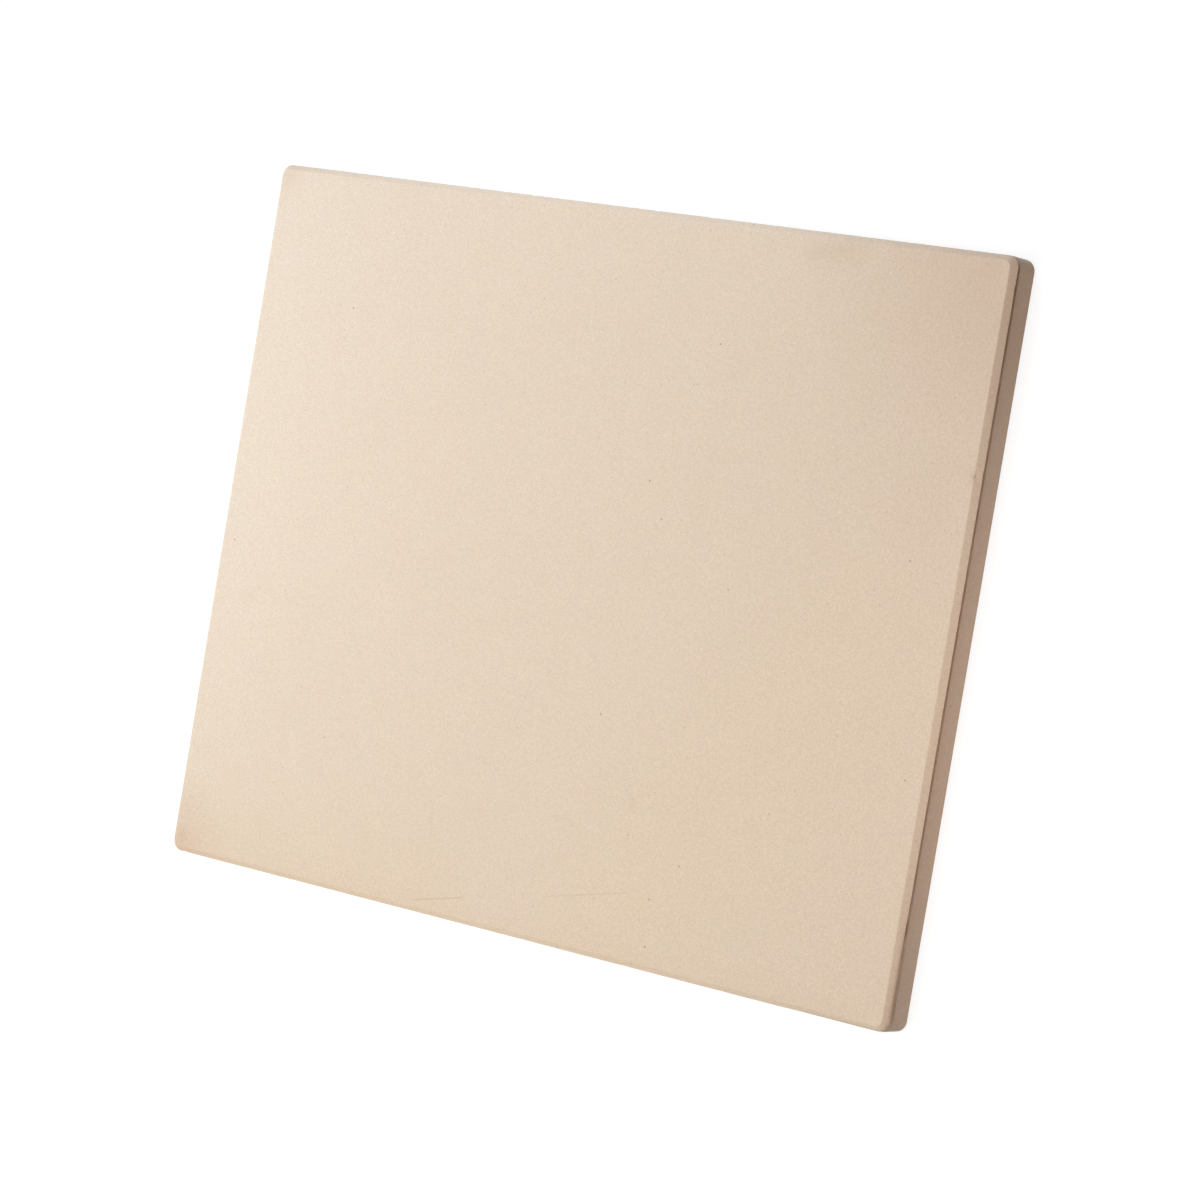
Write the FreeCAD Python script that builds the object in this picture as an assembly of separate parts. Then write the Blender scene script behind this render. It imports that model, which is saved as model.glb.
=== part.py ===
# Rectangular pizza stone: one slab of cordierite, pressed in a two-part mould and fired.
# It lies flat with the baking face up. The origin is the centre of the underside, +X runs
# along the long side, +Y along the short side and +Z up. Lengths are in millimetres.

import FreeCAD, Part
import math
import os

# Slab
LENGTH = 380.0  # long side, over the lip
WIDTH = 300.0  # short side, over the lip
THICKNESS = 15.0  # underside to baking face
CORNER_RADIUS = 5.0  # the four corners, seen from above

# Edge of the baking face
BEVEL = 2.25  # both legs of the 45 degree bevel round the baking face
LIP_HEIGHT = 0.4  # upright band that is left between the bevel and the parting groove

# Parting line, where the two halves of the mould met
GROOVE_WIDTH = 1.2  # height of the groove's mouth
GROOVE_DEPTH = 0.6  # from the lip to the bottom of the groove

# Side wall and underside
WALL_DRAFT = 1.0  # degrees that the wall leans in towards the underside, for release
BASE_EDGE_RADIUS = 1.0  # rounding between the wall and the underside

# Places that follow from the sizes
UP = FreeCAD.Vector(0, 0, 1)
QUARTER_TURN = 90
PARTING_HEIGHT = THICKNESS - BEVEL - LIP_HEIGHT - GROOVE_WIDTH / 2
DRAFT_INSET = PARTING_HEIGHT * math.tan(math.radians(WALL_DRAFT))


def outline(inset, height):
    """Closed wire of the slab's plan at a height, with its sides moved in by inset."""
    radius = CORNER_RADIUS - inset
    reach_x = LENGTH / 2 - CORNER_RADIUS
    reach_y = WIDTH / 2 - CORNER_RADIUS
    arcs = []
    for turn, (side_x, side_y) in enumerate(((1, 1), (-1, 1), (-1, -1), (1, -1))):
        centre = FreeCAD.Vector(side_x * reach_x, side_y * reach_y, height)
        start = turn * QUARTER_TURN
        arcs.append(Part.makeCircle(radius, centre, UP, start, start + QUARTER_TURN))
    edges = []
    for arc, following in zip(arcs, arcs[1:] + arcs[:1]):
        side = Part.makeLine(arc.valueAt(arc.LastParameter), following.valueAt(following.FirstParameter))
        edges += [arc, side]
    return Part.Wire(edges)


def middle_height(face):
    """Height of a face's middle, by which the baking face and the underside are found."""
    return face.CenterOfMass.z


def blank():
    """The slab with plain edges: upright above the parting line, drafted below it."""
    parting = outline(0, PARTING_HEIGHT)
    upper = Part.Face(parting).extrude(UP * (THICKNESS - PARTING_HEIGHT))
    lower = Part.makeLoft([parting, outline(DRAFT_INSET, 0)], True, True)
    return upper.fuse(lower).removeSplitter()


def parting_groove():
    """Ring of round section that cuts the groove: the mouth and the depth set its radius."""
    radius = (GROOVE_DEPTH**2 + (GROOVE_WIDTH / 2) ** 2) / (2 * GROOVE_DEPTH)
    path = outline(GROOVE_DEPTH - radius, PARTING_HEIGHT)
    first = path.OrderedEdges[0]
    start = first.valueAt(first.FirstParameter)
    section = Part.makeCircle(radius, start, first.tangentAt(first.FirstParameter))
    return path.makePipeShell([Part.Wire(section)], True, True)


def stone_slab():
    """The finished slab: bevelled baking face, rounded underside and parting groove."""
    slab = blank()
    slab = slab.makeChamfer(BEVEL, max(slab.Faces, key=middle_height).Edges)
    slab = slab.makeFillet(BASE_EDGE_RADIUS, min(slab.Faces, key=middle_height).Edges)
    return slab.cut(parting_groove())


def main():
    os.makedirs("parts", exist_ok=True)
    stone_slab().exportStep("parts/stone_slab.step")


main()
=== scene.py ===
# Rectangular pizza stone: one slab of fired cordierite, lying on a white studio floor with its
# baking face up. The dressed slab stands for the CAD solid, in the same place and at the same
# size, with worn edges and a sandy, speckled skin. Lengths are in metres.

import math
from typing import NamedTuple

import bpy
from mathutils import Matrix, Vector, noise


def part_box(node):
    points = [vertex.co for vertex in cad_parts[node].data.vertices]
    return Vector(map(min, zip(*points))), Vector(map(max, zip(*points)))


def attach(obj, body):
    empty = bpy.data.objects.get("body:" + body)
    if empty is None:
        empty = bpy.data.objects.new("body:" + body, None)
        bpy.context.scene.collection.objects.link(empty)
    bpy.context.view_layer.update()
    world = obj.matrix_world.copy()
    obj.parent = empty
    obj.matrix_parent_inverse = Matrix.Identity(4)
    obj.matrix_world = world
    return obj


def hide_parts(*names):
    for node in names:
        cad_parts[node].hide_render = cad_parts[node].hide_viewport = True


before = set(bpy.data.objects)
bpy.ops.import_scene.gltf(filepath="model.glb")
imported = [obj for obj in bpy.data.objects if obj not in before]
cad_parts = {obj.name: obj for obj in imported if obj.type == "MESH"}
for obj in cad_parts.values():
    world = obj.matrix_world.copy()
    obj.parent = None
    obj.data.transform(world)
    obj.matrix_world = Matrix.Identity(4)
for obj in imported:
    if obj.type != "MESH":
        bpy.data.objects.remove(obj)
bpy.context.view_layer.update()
slab_low, slab_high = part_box("stone_slab")

MM = 0.001

# Slab, from the CAD model's box
REACH_X = slab_high.x  # middle to the lip, along the long side
REACH_Y = slab_high.y  # middle to the lip, along the short side
TOP = slab_high.z  # height of the baking face
BOTTOM = slab_low.z  # height of the underside
CORNER_RADIUS = 5 * MM  # the four corners, seen from above

# Edge of the slab, from the baking face down
BEVEL = 2.25 * MM  # both legs of the bevel round the baking face
LIP_HEIGHT = 0.4 * MM  # upright band between the bevel and the parting groove
GROOVE_WIDTH = 1.2 * MM  # height of the parting groove's mouth
GROOVE_DEPTH = 0.6 * MM  # from the lip to the bottom of the groove
WALL_DRAFT = math.radians(1.0)  # lean of the wall below the groove
BASE_EDGE_RADIUS = 1 * MM  # rounding between the wall and the underside

# Heights that follow from these
LIP_TOP = TOP - BEVEL
GROOVE_TOP = LIP_TOP - LIP_HEIGHT
WALL_TOP = GROOVE_TOP - GROOVE_WIDTH

# How far use and firing have softened the edges
FACE_EDGE_SOFTNESS = 0.4 * MM
LIP_SOFTNESS = 0.3 * MM
MOUTH_SOFTNESS = 0.17 * MM
GROOVE_SOFTNESS = 0.42 * MM
WALL_TOP_SOFTNESS = 0.16 * MM

# How worn each edge is; the same shares set the painted highlight along each edge
FACE_EDGE_WEAR_SHARE = 0.6
LIP_WEAR_SHARE = 0.9
MOUTH_WEAR_SHARE = 1.0
GROOVE_WEAR_SHARE = 0.2
WALL_TOP_WEAR_SHARE = 0.5
BASE_WEAR_SHARE = 0.5

# Mesh steps
OUTLINE_STEP = 1.2 * MM  # along the sides
SECTION_STEP = 0.8 * MM  # down the edge
CELL = 3  # outline steps to one cell of the flat faces
ARC_STEPS = 12  # steps round each corner
ARC_STEP_TURN = math.radians(16)  # largest turn in one step of a rounded edge

# Unevenness of the skin, always into the slab
SKIN_SIZE = 2.6 * MM  # grain of the pressed surface
SKIN_DEPTH = 0.03 * MM
WAVE_SIZE = 17 * MM  # slow wander of the worn edges
WAVE_DEPTH = 0.08 * MM
CHIP_SIZE = 3.4 * MM  # crumbled spots along the worn edges
CHIP_DEPTH = 0.5 * MM
CHIP_START_SHARE = 0.35  # part of the noise's range that leaves no chip
WEAR_REACH = 0.55 * MM  # how far wear spreads on either side of an edge
NICK_PLACE = Vector((188, 65, 14.9)) * MM  # a knocked spot on the edge of the baking face
NICK_REACH = 2.4 * MM
NICK_DEPTH = 0.6 * MM
WORN_CORNER_PLACE = Vector((190, -150, 12.5)) * MM  # a corner whose lip is rubbed back
WORN_CORNER_REACH = 55 * MM
WORN_CORNER_DEPTH = 0.42 * MM

# Painted shade in the parting groove and just below it, with lumps of dirt
GROOVE_SHADE_SHARE = 0.84  # along most of it
GROOVE_END_SHARE = 0.25  # painted shade darker at the +Y end, lighter at the -Y end
GROOVE_END_POWER = 5  # odd, and high enough to keep that close to the ends
GROOVE_CORNER_SHARE = 0.35  # of the painted shade and dirt, what is left in the middle of a corner's turn
DIRT_SIZE = 5 * MM  # lumps in it
DIRT_LUMP_SHARE = 0.2
SHADE_SPREAD = 0.3 * MM  # how far the painted shade spreads down the wall below the lip
SHADE_SPREAD_SHARE = 0.25
RUBBED_SHADE_LOSS_SHARE = 0.35  # of the painted shade and dirt, what is gone with the lip at the rubbed corner
CLOT_PLACE = Vector((189.5, -110, 11.75)) * MM  # a caked lump near that corner
CLOT_REACH = 4.5 * MM
CLOT_SHARE = 0.35

# Painted shade on the wall under the lip
WALL_SHADE_CORNER_SHARE = 0.6  # how much of it is left round the corners

# Camera
CAMERA_PLACE = Vector((1.11135, 0.05744, 1.42446))
CAMERA_AIM = Vector((0.02046, -0.00835, 0.015))
PICTURE_UP = Vector((-0.15242, 0.98569, 0.07196))
CAMERA_LENS = 132.83  # millimetres, on the sensor below
CAMERA_SENSOR = 36.0

# Light, in shares of the level at which a colour renders as it is written
AMBIENT_SHARE = 0.13
AMBIENT_COLOUR = (0.86, 0.95, 1.00, 1)
FLOOR_SIZE = 12.0


class Lamp(NamedTuple):
    """A square soft panel that faces the middle of the baking face."""

    name: str
    place: tuple
    size: float
    light_share: float
    colour: tuple


LAMPS = (
    Lamp("overhead_panel", (0.025, -0.15, 0.70), 0.50, 0.622, (1.00, 0.96, 0.908)),
    Lamp("left_panel", (-0.50, 0.045, 0.22), 0.25, 0.175, (0.73, 0.85, 1.00)),
    Lamp("back_panel", (-0.06, 0.50, 0.19), 0.34, 0.154, (0.84, 0.91, 1.00)),
    Lamp("front_panel", (-0.45, -1.00, 0.285), 0.40, 0.072, (1.00, 0.98, 0.89)),
    Lamp("right_panel", (0.42, -0.030, 0.09), 0.14, 0.0215, (1.00, 0.78, 0.68)),
)


class Corner(NamedTuple):
    """A corner of the edge's section: how far in from the lip, how high, how rounded, how worn."""

    inset: float
    height: float
    radius: float
    wear: float

    @property
    def place(self):
        return Vector((self.inset, self.height))


class SectionPoint(NamedTuple):
    """A point of the edge's section, with the way that the surface faces there."""

    inset: float
    height: float
    facing: Vector
    wear: float


class OutlinePoint(NamedTuple):
    """A point of the slab's outline: its place on the face's border and the way out."""

    key: tuple
    outward: Vector

    @property
    def corner_turn(self):
        """0 along a side, 1 in the middle of a corner."""
        return abs(2 * self.outward.x * self.outward.y)


# Shape of the slab


def edge_corners():
    """Corners of the edge's section, from the border of the baking face to that of the underside."""
    wall_lean = math.tan(WALL_DRAFT)
    parting = GROOVE_TOP - GROOVE_WIDTH / 2
    return (
        Corner(CORNER_RADIUS, TOP, 0, 0),
        Corner(BEVEL, TOP, FACE_EDGE_SOFTNESS, FACE_EDGE_WEAR_SHARE),
        Corner(0, LIP_TOP, LIP_SOFTNESS, LIP_WEAR_SHARE),
        Corner(0, GROOVE_TOP, MOUTH_SOFTNESS, MOUTH_WEAR_SHARE),
        Corner(GROOVE_DEPTH, GROOVE_TOP, GROOVE_SOFTNESS, GROOVE_WEAR_SHARE),
        Corner(GROOVE_DEPTH, WALL_TOP, GROOVE_SOFTNESS, GROOVE_WEAR_SHARE),
        Corner((parting - WALL_TOP) * wall_lean, WALL_TOP, WALL_TOP_SOFTNESS, WALL_TOP_WEAR_SHARE),
        Corner((parting - BOTTOM) * wall_lean, BOTTOM, BASE_EDGE_RADIUS, BASE_WEAR_SHARE),
        Corner(CORNER_RADIUS, BOTTOM, 0, 0),
    )


def straight(start, end):
    """Points from start up to, but not with, end, no further apart than the section's step."""
    steps = max(1, math.ceil((end - start).length / SECTION_STEP))
    return [start.lerp(end, step / steps) for step in range(steps)]


def rounded_path(corners):
    """The section as points, with each inner corner turned into an arc of its radius."""
    path = []
    last = corners[0].place
    for before, corner, after in zip(corners, corners[1:], corners[2:]):
        way_in = (corner.place - before.place).normalized()
        way_out = (after.place - corner.place).normalized()
        turn = math.atan2(way_in.cross(way_out), way_in.dot(way_out))
        ahead = way_in * corner.radius
        aside = Vector((-way_in.y, way_in.x)) * math.copysign(corner.radius, turn)
        arc_start = corner.place - ahead * math.tan(abs(turn) / 2)
        path += straight(last, arc_start)
        steps = math.ceil(abs(turn) / ARC_STEP_TURN)
        for step in range(steps + 1):
            turned = abs(turn) * step / steps
            path.append(arc_start + ahead * math.sin(turned) + aside * (1 - math.cos(turned)))
        last = path.pop()
    end = corners[-1].place
    return path + straight(last, end) + [end]


def corner_wear(corner, place):
    """How much of a corner's wear reaches a place of the section."""
    return corner.wear * math.exp(-(((place - corner.place).length / WEAR_REACH) ** 2))


def edge_section():
    """Points of the edge's section, each with its facing and wear."""
    corners = edge_corners()
    path = rounded_path(corners)
    section = []
    for number, place in enumerate(path):
        along = path[min(number + 1, len(path) - 1)] - path[max(number - 1, 0)]
        facing = Vector((along.y, -along.x)).normalized()
        wear = max(corner_wear(corner, place) for corner in corners)
        section.append(SectionPoint(place.x, place.y, facing, wear))
    return section


def side_steps(reach):
    """Outline steps along a side, a whole number of the flat faces' cells."""
    return CELL * round(2 * (reach - CORNER_RADIUS) / OUTLINE_STEP / CELL)


STEPS_X = side_steps(REACH_X)
STEPS_Y = side_steps(REACH_Y)


def border_place(key):
    """Place in plan of a point of the flat faces, from its count of steps in X and Y."""
    inner_x = REACH_X - CORNER_RADIUS
    inner_y = REACH_Y - CORNER_RADIUS
    return Vector((inner_x * (2 * key[0] / STEPS_X - 1), inner_y * (2 * key[1] / STEPS_Y - 1)))


def slab_outline():
    """Points round the slab, anticlockwise from above: four sides, each with the corner that follows."""
    sides = (
        ((STEPS_X, 0), (0, 1), STEPS_Y),
        ((STEPS_X, STEPS_Y), (-1, 0), STEPS_X),
        ((0, STEPS_Y), (0, -1), STEPS_Y),
        ((0, 0), (1, 0), STEPS_X),
    )
    points = []
    for start, way, steps in sides:
        outward = Vector((way[1], -way[0]))
        ahead = Vector(way)
        for step in range(steps + 1):
            key = (start[0] + way[0] * step, start[1] + way[1] * step)
            points.append(OutlinePoint(key, outward))
        for step in range(1, ARC_STEPS):
            turn = math.pi / 2 * step / ARC_STEPS
            points.append(OutlinePoint(key, outward * math.cos(turn) + ahead * math.sin(turn)))
    return points


def spot(place, middle, reach):
    """1 in the middle of a spot, 0 beyond its reach."""
    return max(0, 1 - (place - middle).length_squared / reach**2)


def skin_loss(place, wear):
    """How far the skin lies below the true surface: grain all over, more on worn edges, and a nick.

    The rubbed corner has lost its lip, but the edge of the baking face is spared there.
    """
    grain = SKIN_DEPTH * (1 + noise.noise(place / SKIN_SIZE)) / 2
    wander = WAVE_DEPTH * (1 + noise.noise(place / WAVE_SIZE)) / 2
    crumble = CHIP_DEPTH * max(0, noise.noise(place / CHIP_SIZE) - CHIP_START_SHARE)
    below_face = min(1, (TOP - place.z) / BEVEL)
    rubbed = WORN_CORNER_DEPTH * below_face * spot(place, WORN_CORNER_PLACE, WORN_CORNER_REACH)
    nick = NICK_DEPTH * spot(place, NICK_PLACE, NICK_REACH)
    return grain + wear * (wander + crumble + rubbed) + nick


def edge_place(outline_point, section_point):
    """Place of a vertex on the slab's edge, sunk by the loss of its skin."""
    border = border_place(outline_point.key)
    out = outline_point.outward
    true_place = border + out * (CORNER_RADIUS - section_point.inset)
    loss = skin_loss(true_place.to_3d() + Vector((0, 0, section_point.height)), section_point.wear)
    plan = true_place + out * section_point.facing.x * loss
    return Vector((plan.x, plan.y, section_point.height - section_point.facing.y * loss))


def flat_place(key, height, facing):
    """Place of a vertex on the baking face (facing 1) or the underside (facing -1)."""
    place = border_place(key).to_3d()
    place.z = height
    place.z -= facing * skin_loss(place, 0)
    return place


# Marks that the material reads at each vertex

MARKS = ("groove", "wall", "wear")


def groove_shade_and_dirt(place, section_point, corner_turn):
    """Painted shade, with lumps of dirt, in the parting groove and just below it: most at its bottom, 0
    outside it, less round the corners.
    """
    if not WALL_TOP - SHADE_SPREAD < section_point.height < GROOVE_TOP:
        return 0
    shade_and_dirt = GROOVE_SHADE_SHARE + GROOVE_END_SHARE * (place.y / REACH_Y) ** GROOVE_END_POWER
    shade_and_dirt *= 1 + DIRT_LUMP_SHARE * noise.noise(place / DIRT_SIZE)
    shade_and_dirt *= 1 - RUBBED_SHADE_LOSS_SHARE * spot(place, WORN_CORNER_PLACE, WORN_CORNER_REACH)
    shade_and_dirt += CLOT_SHARE * spot(place, CLOT_PLACE, CLOT_REACH)
    depth = max(SHADE_SPREAD_SHARE, section_point.inset / GROOVE_DEPTH)
    return shade_and_dirt * (1 + (GROOVE_CORNER_SHARE - 1) * corner_turn) * min(1, depth)


def wall_shade_mark(section_point, corner_turn):
    """Painted shade under the lip: 1 on the wall just below the groove, less towards the base and round
    the corners, 0 elsewhere.
    """
    if section_point.height > WALL_TOP:
        return 0
    return section_point.height / WALL_TOP * (1 + (WALL_SHADE_CORNER_SHARE - 1) * corner_turn)


def vertex_marks(place, section_point, corner_turn):
    """The marks of a vertex, in the order of their names."""
    groove = groove_shade_and_dirt(place, section_point, corner_turn)
    wall = wall_shade_mark(section_point, corner_turn)
    return groove, wall, section_point.wear


# Mesh of the slab


def cell_walk(x, y):
    """Every outline step round one cell of a flat face, anticlockwise from above."""
    steps = range(CELL)
    return (
        [(x + step, y) for step in steps]
        + [(x + CELL, y + step) for step in steps]
        + [(x + CELL - step, y + CELL) for step in steps]
        + [(x, y + CELL - step) for step in steps]
    )


class SlabMesh:
    """Vertices and polygons of the dressed slab, with the marks that its material reads."""

    def __init__(self):
        self.places = []
        self.marks = []
        self.polygons = []

    def add(self, place, section_point, corner_turn):
        """The number of a new vertex."""
        self.places.append(place)
        self.marks.append(vertex_marks(place, section_point, corner_turn))
        return len(self.places) - 1

    def flat_face(self, outline, section_point, facing):
        """The vertices of a flat face by key, with its polygons added."""
        keys = {point.key for point in outline}
        keys |= {(x, y) for x in range(0, STEPS_X + 1, CELL) for y in range(0, STEPS_Y + 1, CELL)}
        vertex_of = {}
        for key in sorted(keys):
            vertex_of[key] = self.add(flat_place(key, section_point.height, facing), section_point, 0)
        for x in range(0, STEPS_X, CELL):
            for y in range(0, STEPS_Y, CELL):
                loop = [vertex_of[key] for key in cell_walk(x, y) if key in vertex_of]
                self.polygons.append(loop[::facing])
        return vertex_of

    def edge_ring(self, outline, section_point):
        """The vertices round the edge at one point of its section."""
        ring = []
        for point in outline:
            ring.append(self.add(edge_place(point, section_point), section_point, point.corner_turn))
        return ring

    def band(self, ring, next_ring):
        """Polygons between two rings of the edge. At a corner's centre they are triangles."""
        for here, onward in zip(range(-1, len(ring) - 1), range(len(ring))):
            loop = (ring[here], next_ring[here], next_ring[onward], ring[onward])
            self.polygons.append(list(dict.fromkeys(loop)))


def build_slab_mesh():
    """The whole slab: baking face, edge and underside."""
    section = edge_section()
    outline = slab_outline()
    made = SlabMesh()
    upper = made.flat_face(outline, section[0], 1)
    lower = made.flat_face(outline, section[-1], -1)
    rings = [[upper[point.key] for point in outline]]
    for section_point in section[1:-1]:
        rings.append(made.edge_ring(outline, section_point))
    rings.append([lower[point.key] for point in outline])
    for ring, next_ring in zip(rings, rings[1:]):
        made.band(ring, next_ring)
    return made


def stone_slab():
    """The slab as an object, with its marks as attributes."""
    made = build_slab_mesh()
    mesh = bpy.data.meshes.new("dressed_slab")
    mesh.from_pydata(made.places, [], made.polygons)
    mesh.validate()
    for name, values in zip(MARKS, zip(*made.marks)):
        attribute = mesh.attributes.new(name, "FLOAT", "POINT")
        attribute.data.foreach_set("value", values)
    mesh.polygons.foreach_set("use_smooth", [True] * len(mesh.polygons))
    slab = bpy.data.objects.new("dressed_slab", mesh)
    bpy.context.scene.collection.objects.link(slab)
    return slab


# Materials

MIX_FACTOR = 0  # sockets of the Mix node when it mixes colours
MIX_FIRST = 6
MIX_SECOND = 7
MIX_RESULT = 2

CORDIERITE = (0.765, 0.631, 0.500, 1)
ROSY_TINT = (1.00, 0.960, 0.965, 1)  # patches where the clay fired pinker
SANDY_TINT = (1.00, 1.00, 0.945, 1)  # patches where it fired yellower
WALL_SHADE_TINT = (0.780, 0.745, 0.755, 1)  # painted shade: the wall is darker and duller under the lip
# painted shade in the parting groove and just below it, with lumps of dirt
GROOVE_SHADE_TINT = (0.375, 0.262, 0.190, 1)
EDGE_HIGHLIGHT_TINT = (1.03, 1.02, 1.02, 1)  # painted highlight along the edges, strongest on the lip
DARK_SPECK_TINT = (0.52, 0.47, 0.42, 1)
PALE_SPECK_TINT = (1.14, 1.14, 1.15, 1)

NOISE_DETAIL = 2.0  # finer layers in every noise
ROSY_SIZE = 12 * MM
SANDY_SIZE = 9 * MM
GRAIN_SIZE = 0.80 * MM
GRAIN_CONTRAST = 0.175
MOTTLE_SIZE = 45 * MM
MOTTLE_CONTRAST = 0.015
BUMP_SIZE = 0.7 * MM
BUMP_HEIGHT = 0.05 * MM
PIT_ROUGHNESS = 0.88  # between the grains
GRAIN_ROUGHNESS = 0.62  # on top of them
SPECK_CORE_SHARE = 0.5  # of a speck's radius, before it fades out


class Specks(NamedTuple):
    """Odd grains in the clay: one to each cell, seen where it meets the surface."""

    cell: float
    radius: float
    strength: float


DARK_SPECKS = Specks(15 * MM, 0.55 * MM, 0.85)
FAINT_SPECKS = Specks(5 * MM, 0.40 * MM, 0.42)
PALE_SPECKS = Specks(4.6 * MM, 0.42 * MM, 1.0)


class FaceMark(NamedTuple):
    """A stain or scratch on the baking face, from end to end in plan, in millimetres."""

    start: tuple
    end: tuple
    reach: float
    strength: float
    tint: tuple


STAIN = (0.86, 0.755, 0.69, 1)
YELLOWED = (1.00, 0.97, 0.90, 1)
SMUDGE = (0.80, 0.76, 0.71, 1)
SCRATCH = (0.62, 0.54, 0.47, 1)
RUB = (1.10, 1.10, 1.10, 1)

FACE_MARKS = (
    # Stains at three corners and along the sides
    FaceMark((-186, -146), (-186, -146), 34, 0.45, STAIN),
    FaceMark((-183.5, -143), (-183.5, -143), 6, 0.3, STAIN),
    FaceMark((190, 150), (190, 150), 110, 0.46, STAIN),
    FaceMark((98, 141), (116, 142), 10, 0.18, STAIN),
    FaceMark((166, 52), (166, 52), 34, 0.10, STAIN),
    FaceMark((-188, 148), (-188, 148), 18, 0.35, STAIN),
    FaceMark((-190, -152), (190, -152), 18, 0.12, STAIN),
    # Yellowed clay towards the near side
    FaceMark((-165, -138), (-50, -140), 40, 0.42, YELLOWED),
    FaceMark((50, -145), (140, -10), 75, 0.34, YELLOWED),
    # Scratches near the near side, a hairline near the right side, and painted shade with brown dirt in
    # the nick
    FaceMark((-50, -145), (-24, -139), 0.6, 0.32, SCRATCH),
    FaceMark((17, -130.5), (58, -121), 0.6, 0.20, SCRATCH),
    FaceMark((121, 37), (169, 60), 0.5, 0.07, SCRATCH),
    # painted shade with brown dirt in the nick
    FaceMark((188, 66.5), (188, 63.5), 0.9, 0.4, SCRATCH),
    # Smudges and rubbed spots
    FaceMark((-167, -36), (-167, -36), 6, 0.12, SMUDGE),
    FaceMark((54, -86), (54, -86), 5, 0.22, SMUDGE),
    FaceMark((-48, -104), (-47, -118), 1.6, 0.1, SMUDGE),
    FaceMark((94, 140), (122, 148), 3, 0.12, SMUDGE),
    FaceMark((-131, -89), (-127, -102), 2, 0.3, RUB),
    FaceMark((186, -146), (186, -146), 7, 0.4, RUB),
    FaceMark((186, 146), (186, 136), 5, 0.25, RUB),
)


def add(tree, kind, inputs=(), **settings):
    """A new node with its settings, whose inputs are values or other nodes' outputs."""
    made = tree.nodes.new(kind)
    for name, value in settings.items():
        setattr(made, name, value)
    for socket, value in dict(inputs).items():
        if isinstance(value, bpy.types.NodeSocket):
            tree.links.new(value, made.inputs[socket])
        else:
            made.inputs[socket].default_value = value
    return made


def tinted(tree, colour, tint, factor):
    """A colour multiplied by a tint, as far as the factor says."""
    inputs = {MIX_FACTOR: factor, MIX_FIRST: colour, MIX_SECOND: tint}
    return add(tree, "ShaderNodeMix", inputs, data_type="RGBA", blend_type="MULTIPLY").outputs[MIX_RESULT]


def difference(tree, place, other):
    """The way from another place to a place."""
    return add(tree, "ShaderNodeVectorMath", {0: place, 1: other}, operation="SUBTRACT").outputs[0]


def length(tree, way):
    """How long a way is."""
    return add(tree, "ShaderNodeVectorMath", {0: way}, operation="LENGTH").outputs["Value"]


def mark_value(tree, name):
    """One of the slab's marks, as the material reads it."""
    return add(tree, "ShaderNodeAttribute", attribute_name=name).outputs["Fac"]


def patches(tree, place, size):
    """Soft noise about a half, in patches of the size."""
    inputs = {"Vector": place, "Scale": 1 / size, "Detail": NOISE_DETAIL}
    return add(tree, "ShaderNodeTexNoise", inputs).outputs["Fac"]


def uneven(tree, place, size, contrast):
    """A brightness that varies about 1 by the contrast, in patches of the size."""
    inputs = {"Value": patches(tree, place, size), "To Min": 1 - contrast, "To Max": 1 + contrast}
    return add(tree, "ShaderNodeMapRange", inputs, clamp=False).outputs["Result"]


def speck_amount(tree, place, specks):
    """How much of a speck is at a place, from 0 to the strength of the specks."""
    cells = add(tree, "ShaderNodeTexVoronoi", {"Vector": place, "Scale": 1 / specks.cell})
    radius = specks.radius / specks.cell
    inputs = {
        "Value": cells.outputs["Distance"],
        "From Min": radius * SPECK_CORE_SHARE,
        "From Max": radius,
        "To Min": specks.strength,
        "To Max": 0.0,
    }
    return add(tree, "ShaderNodeMapRange", inputs).outputs["Result"]


def on_face(plan):
    """A place on the baking face, from its plan in millimetres."""
    return Vector((*plan, TOP / MM)) * MM


def face_mark_amount(tree, place, face_mark):
    """How much of a stain or scratch is at a place: its strength along the middle, 0 beyond its reach."""
    start = on_face(face_mark.start)
    way = on_face(face_mark.end) - start
    aside = difference(tree, place, start)
    if way.length > 0:
        inputs = {0: aside, 1: way / way.length_squared}
        along = add(tree, "ShaderNodeVectorMath", inputs, operation="DOT_PRODUCT").outputs["Value"]
        along = add(tree, "ShaderNodeClamp", {"Value": along}).outputs["Result"]
        foot = add(tree, "ShaderNodeVectorMath", {0: way, "Scale": along}, operation="SCALE").outputs[0]
        aside = difference(tree, aside, foot)
    inputs = {
        "Value": length(tree, aside),
        "From Min": 0.0,
        "From Max": face_mark.reach * MM,
        "To Min": face_mark.strength,
        "To Max": 0.0,
    }
    return add(tree, "ShaderNodeMapRange", inputs, interpolation_type="SMOOTHSTEP").outputs["Result"]


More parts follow.
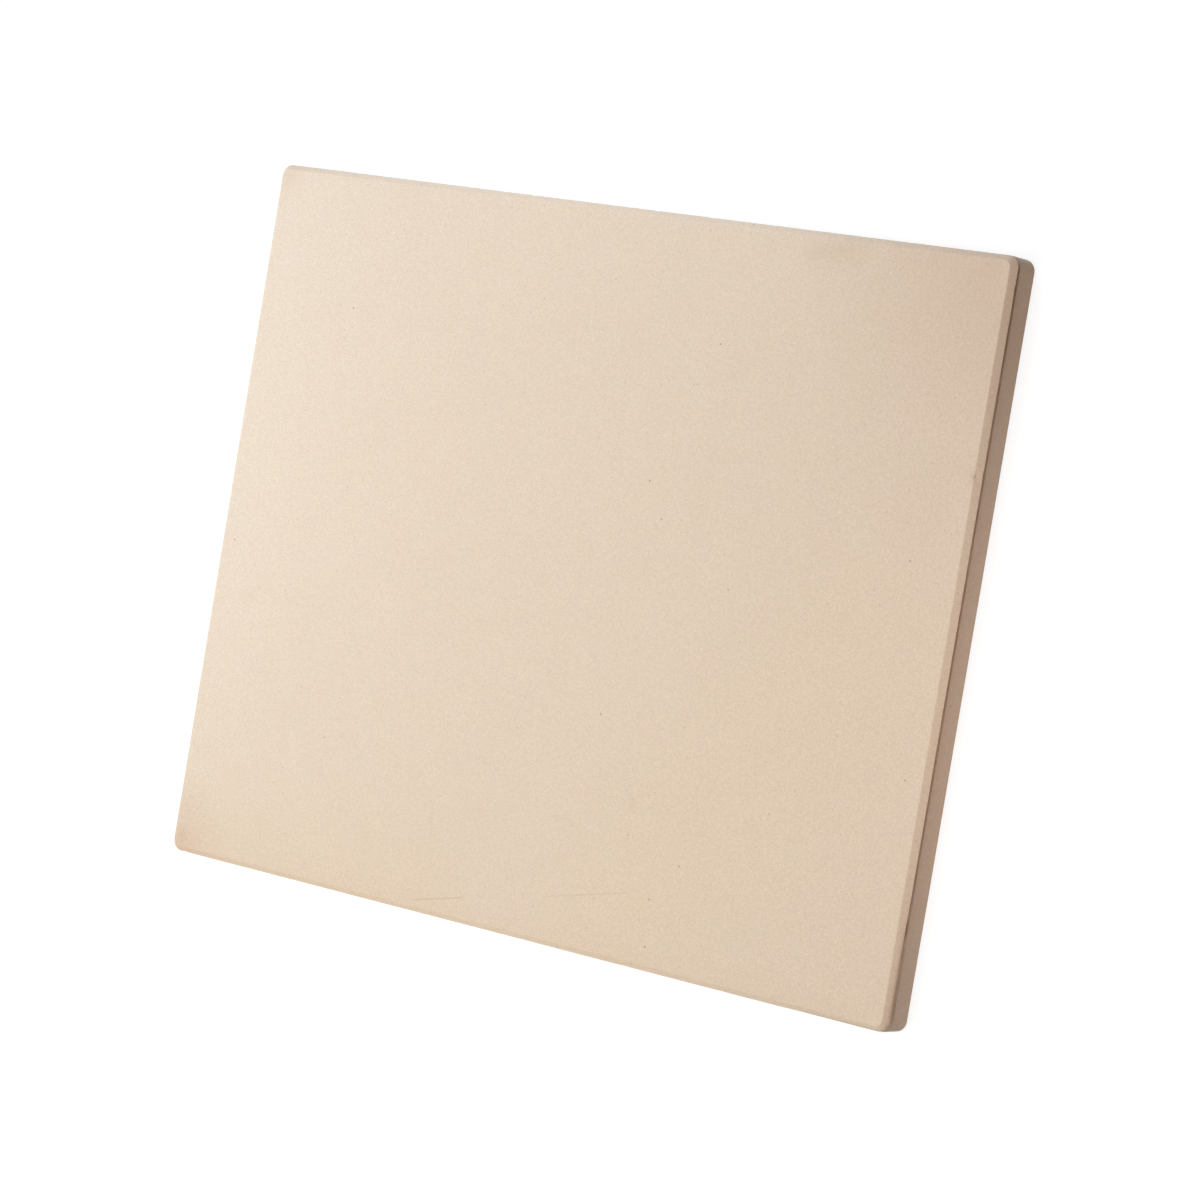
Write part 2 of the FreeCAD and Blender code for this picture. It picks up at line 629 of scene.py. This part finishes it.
def cordierite_colour(tree, place):
    """Pale sandy buff with patches, grain, specks and stains, painted shade on the wall under the lip, a
    painted highlight along the edges, and painted shade with lumps of dirt in the groove.
    """
    colour = CORDIERITE
    for size, tint in ((ROSY_SIZE, ROSY_TINT), (SANDY_SIZE, SANDY_TINT)):
        colour = tinted(tree, colour, tint, patches(tree, place, size))
    # the wall mark adds painted shade under the lip, the wear mark a painted highlight along the edges
    for mark, tint in (("wall", WALL_SHADE_TINT), ("wear", EDGE_HIGHLIGHT_TINT)):
        colour = tinted(tree, colour, tint, mark_value(tree, mark))
    for size, contrast in ((MOTTLE_SIZE, MOTTLE_CONTRAST), (GRAIN_SIZE, GRAIN_CONTRAST)):
        colour = tinted(tree, colour, uneven(tree, place, size, contrast), 1.0)
    for specks, tint in (
        (DARK_SPECKS, DARK_SPECK_TINT),
        (FAINT_SPECKS, DARK_SPECK_TINT),
        (PALE_SPECKS, PALE_SPECK_TINT),
    ):
        colour = tinted(tree, colour, tint, speck_amount(tree, place, specks))
    for face_mark in FACE_MARKS:
        colour = tinted(tree, colour, face_mark.tint, face_mark_amount(tree, place, face_mark))
    # painted shade, with lumps of dirt, in the parting groove
    return tinted(tree, colour, GROOVE_SHADE_TINT, mark_value(tree, "groove"))


def cordierite():
    """Fired cordierite: a matte, finely grained skin."""
    material = bpy.data.materials.new("cordierite")
    material.use_nodes = True
    tree = material.node_tree
    place = add(tree, "ShaderNodeTexCoord").outputs["Object"]
    colour = cordierite_colour(tree, place)
    grain = patches(tree, place, BUMP_SIZE)
    bump = add(tree, "ShaderNodeBump", {"Height": grain, "Distance": BUMP_HEIGHT})
    inputs = {"Value": grain, "To Min": PIT_ROUGHNESS, "To Max": GRAIN_ROUGHNESS}
    roughness = add(tree, "ShaderNodeMapRange", inputs)
    shader = tree.nodes["Principled BSDF"]
    tree.links.new(colour, shader.inputs["Base Color"])
    tree.links.new(roughness.outputs["Result"], shader.inputs["Roughness"])
    tree.links.new(bump.outputs["Normal"], shader.inputs["Normal"])
    return material


# Studio

WHITE = (1, 1, 1, 1)
WHITE_GLOW = 1.0  # strength at which white shows as white
FLOOR_LIGHT_COLOUR = (0.5, 0.5, 0.5, 1)  # what the floor throws back at the slab
FLOOR_SEEN_COLOUR = (0.28, 0.28, 0.28, 1)  # the part of its look that a shadow takes away
FLOOR_SEEN_GLOW = 0.84  # the part that stays in a shadow
FLOOR_SHADOW_REACH = 0.30  # from the middle: the slab's shadow shows out to here
FLOOR_WHITE_REACH = 0.48  # and from here on the floor is plain white


def seen_directly(tree):
    """1 for what the camera, a reflection or glass shows, 0 for light on its way to a surface."""
    path = add(tree, "ShaderNodeLightPath")
    seen = path.outputs["Is Camera Ray"]
    for kind in ("Is Glossy Ray", "Is Transmission Ray"):
        inputs = {0: seen, 1: path.outputs[kind]}
        seen = add(tree, "ShaderNodeMath", inputs, operation="MAXIMUM").outputs["Value"]
    return seen


def floor_material():
    """A white sweep that still shows the slab's shadow faintly."""
    material = bpy.data.materials.new("white_floor")
    material.use_nodes = True
    tree = material.node_tree
    tree.nodes.clear()
    plain = add(tree, "ShaderNodeBsdfDiffuse", {"Color": FLOOR_LIGHT_COLOUR})
    glow = add(tree, "ShaderNodeEmission", {"Color": WHITE, "Strength": FLOOR_SEEN_GLOW})
    shaded = add(tree, "ShaderNodeBsdfDiffuse", {"Color": FLOOR_SEEN_COLOUR})
    near = add(tree, "ShaderNodeAddShader", {0: glow.outputs[0], 1: shaded.outputs[0]})
    far = add(tree, "ShaderNodeEmission", {"Color": WHITE, "Strength": WHITE_GLOW})
    distance = length(tree, add(tree, "ShaderNodeTexCoord").outputs["Object"])
    inputs = {"Value": distance, "From Min": FLOOR_SHADOW_REACH, "From Max": FLOOR_WHITE_REACH}
    outwards = add(tree, "ShaderNodeMapRange", inputs, interpolation_type="SMOOTHSTEP").outputs["Result"]
    seen = add(tree, "ShaderNodeMixShader", {0: outwards, 1: near.outputs[0], 2: far.outputs[0]})
    inputs = {0: seen_directly(tree), 1: plain.outputs[0], 2: seen.outputs[0]}
    both = add(tree, "ShaderNodeMixShader", inputs)
    add(tree, "ShaderNodeOutputMaterial", {"Surface": both.outputs[0]})
    return material


def studio_floor():
    """The flat floor that the slab lies on."""
    half = FLOOR_SIZE / 2
    corners = [(x, y, BOTTOM) for x, y in ((-half, -half), (half, -half), (half, half), (-half, half))]
    mesh = bpy.data.meshes.new("studio_floor")
    mesh.from_pydata(corners, [], [(0, 1, 2, 3)])
    mesh.materials.append(floor_material())
    floor = bpy.data.objects.new("studio_floor", mesh)
    bpy.context.scene.collection.objects.link(floor)
    return floor


def studio_world():
    """Even light from all round, and white behind the floor."""
    world = bpy.data.worlds.new("studio")
    world.use_nodes = True
    tree = world.node_tree
    tree.nodes.clear()
    ambient = add(tree, "ShaderNodeBackground", {"Color": AMBIENT_COLOUR, "Strength": AMBIENT_SHARE})
    backdrop = add(tree, "ShaderNodeBackground", {"Color": WHITE, "Strength": WHITE_GLOW})
    inputs = {0: seen_directly(tree), 1: ambient.outputs[0], 2: backdrop.outputs[0]}
    both = add(tree, "ShaderNodeMixShader", inputs)
    add(tree, "ShaderNodeOutputWorld", {"Surface": both.outputs[0]})
    bpy.context.scene.world = world


def studio_lamp(lamp):
    """A soft panel, with the power that gives the middle of the baking face its share of light.

    A small panel of power P gives P * slant / (pi * distance**2) there, and a matte colour renders
    as it is written where that is pi.
    """
    middle = Vector((0, 0, TOP))
    way = Vector(lamp.place) - middle
    slant = way.normalized().z
    data = bpy.data.lights.new(lamp.name, "AREA")
    data.shape = "SQUARE"
    data.size = lamp.size
    data.color = lamp.colour
    data.energy = math.pi**2 * lamp.light_share * way.length_squared / slant
    panel = bpy.data.objects.new(lamp.name, data)
    panel.location = lamp.place
    panel.rotation_euler = way.to_track_quat("Z", "Y").to_euler()
    panel.visible_camera = False
    bpy.context.scene.collection.objects.link(panel)


def studio_camera():
    """The camera at the photograph's viewing angle."""
    back = (CAMERA_PLACE - CAMERA_AIM).normalized()
    right = PICTURE_UP.cross(back).normalized()
    up = back.cross(right)
    data = bpy.data.cameras.new("camera")
    data.sensor_width = CAMERA_SENSOR
    data.lens = CAMERA_LENS
    camera = bpy.data.objects.new("camera", data)
    turned = Matrix((right, up, back)).transposed().to_4x4()
    camera.matrix_world = Matrix.Translation(CAMERA_PLACE) @ turned
    bpy.context.scene.collection.objects.link(camera)
    bpy.context.scene.camera = camera


def main():
    slab = stone_slab()
    slab.data.materials.append(cordierite())
    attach(slab, "root")
    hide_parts("stone_slab")
    studio_floor()
    studio_world()
    for lamp in LAMPS:
        studio_lamp(lamp)
    studio_camera()
    bpy.context.scene.view_settings.view_transform = "Standard"


main()
